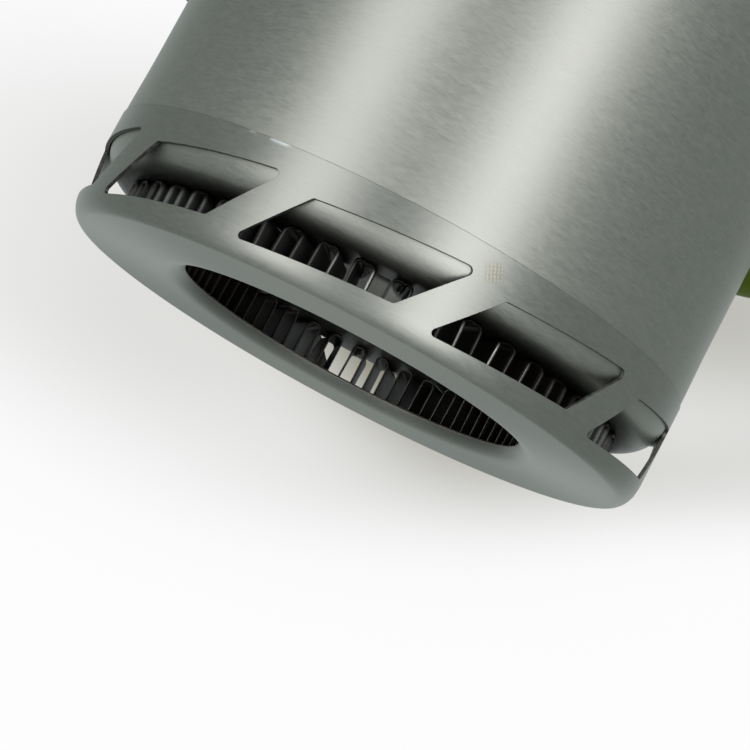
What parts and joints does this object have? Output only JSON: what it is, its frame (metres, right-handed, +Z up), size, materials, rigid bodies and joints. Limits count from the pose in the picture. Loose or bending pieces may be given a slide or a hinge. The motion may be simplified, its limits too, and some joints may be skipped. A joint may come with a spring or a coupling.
{
  "type": "heat exchanger camping pot",
  "caption": "Round lidded camping pot with a windowed flame skirt and corrugated fins under its floor, folding wire handles and a fold-down lid lifter.",
  "frame": {"origin": "on the pot's axis, in the plane of the foot that it stands on", "axes": "+Z up along the pot's axis, the handles' hinge bracket on +Y, the folded handles lie towards +X and -X"},
  "size_m": [0.167, 0.1426, 0.1084],
  "materials": {
    "pot_anodised": "hard anodised, circular brushed",
    "skirt_anodised": "hard anodised, circular brushed",
    "fin_aluminium": "bare mill finish, heat darkened",
    "bracket_steel": "brushed stainless sheet",
    "wire_steel": "drawn stainless wire",
    "rivet_aluminium": "bare, satin",
    "green_silicone": "matte moulded silicone"
  },
  "bodies": {
    "pot": {"pot_body": "pot_anodised", "flame_skirt": "skirt_anodised", "fin_strip": "fin_aluminium", "handle_bracket": "bracket_steel", "bracket_rivets": "rivet_aluminium", "bracket_washers": "rivet_aluminium"},
    "right_handle": {"right_handle_wire": "wire_steel", "right_handle_grip": "green_silicone"},
    "left_handle": {"left_handle_wire": "wire_steel", "left_handle_grip": "green_silicone"},
    "lid": {"lid_shell": "pot_anodised", "lid_lifter_bracket": "bracket_steel", "lid_rivets": "rivet_aluminium", "lid_washers": "rivet_aluminium"},
    "lid_lifter": {"lid_lifter_wire": "wire_steel", "lid_lifter_grip": "green_silicone"}
  },
  "joints": [
    {"name": "right_handle_swing", "type": "hinge", "parent": "pot", "child": "right_handle", "pos_m": [0.009, 0.0703, 0.0767], "axis": [0, 0, 1], "range_deg": [0, 115]},
    {"name": "left_handle_swing", "type": "hinge", "parent": "pot", "child": "left_handle", "pos_m": [-0.009, 0.0703, 0.0767], "axis": [0, 0, -1], "range_deg": [0, 115]},
    {"name": "lid_lift", "type": "slide", "parent": "pot", "child": "lid", "axis": [0, 0, 1], "range_m": [0, 0.06]},
    {"name": "lifter_fold", "type": "hinge", "parent": "lid", "child": "lid_lifter", "pos_m": [0, 0, 0.1052], "axis": [1, 0, 0], "range_deg": [0, 180]}
  ]
}
